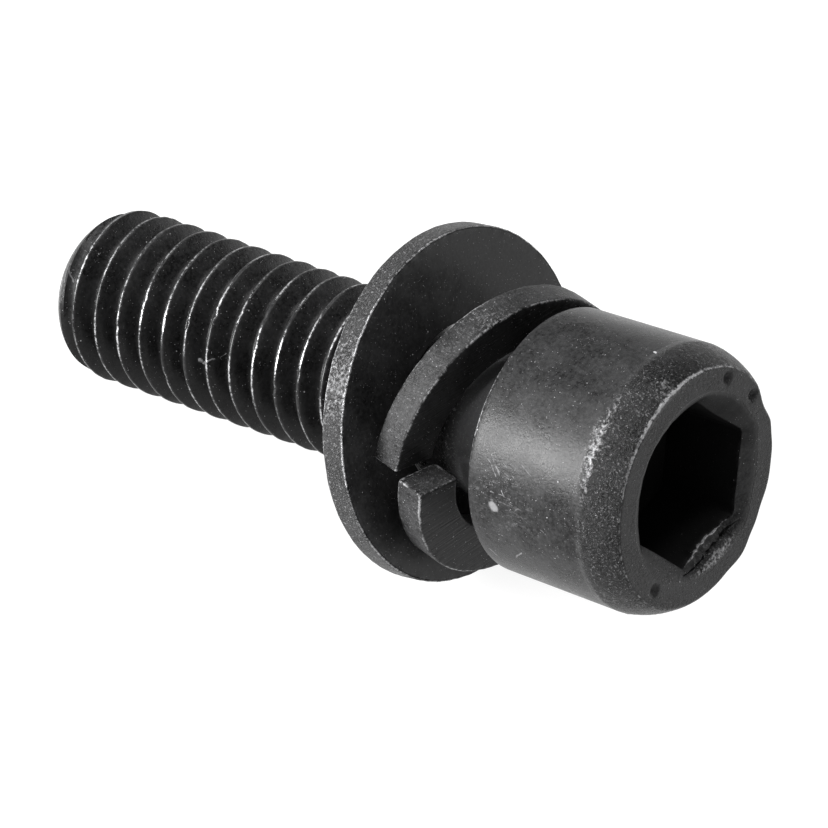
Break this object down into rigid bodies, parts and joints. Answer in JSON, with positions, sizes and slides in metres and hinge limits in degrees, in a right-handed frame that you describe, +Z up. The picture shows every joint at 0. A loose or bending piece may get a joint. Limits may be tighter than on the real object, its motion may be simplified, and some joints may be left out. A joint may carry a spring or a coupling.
{
  "type": "air filter cover bolt",
  "caption": "Hexagon socket cap screw with a captive spring lock washer and flat washer, black oxide steel, lying on its washer and tip.",
  "frame": {"origin": "on the surface the bolt lies on, under the middle of its bounding box", "axes": "+Z up, +X level from the thread's tip to the head, +Y to the left seen from the tip; the screw's own axis rises from tip to head by 10.8 degrees"},
  "size_m": [0.0266, 0.0122, 0.012],
  "materials": {
    "cap_screw": "black oxide, worn bright at edges and crests",
    "spring_lock_washer": "black oxide, dusty grey",
    "flat_washer": "black oxide, grained worn rim"
  },
  "bodies": {
    "screw": {"cap_screw": "cap_screw"},
    "lock_washer": {"spring_lock_washer": "spring_lock_washer"},
    "washer": {"flat_washer": "flat_washer"}
  },
  "joints": [
    {"name": "flat_washer_spin", "type": "hinge", "parent": "screw", "child": "washer", "pos_m": [0.00201, 0, 0.00575], "axis": [0.9508, 0, 0.3097], "continuous": true},
    {"name": "lock_washer_play", "type": "slide", "parent": "screw", "child": "lock_washer", "axis": [0.9822, 0, 0.1881], "range_m": [-0.00008, 0.00025]}
  ]
}
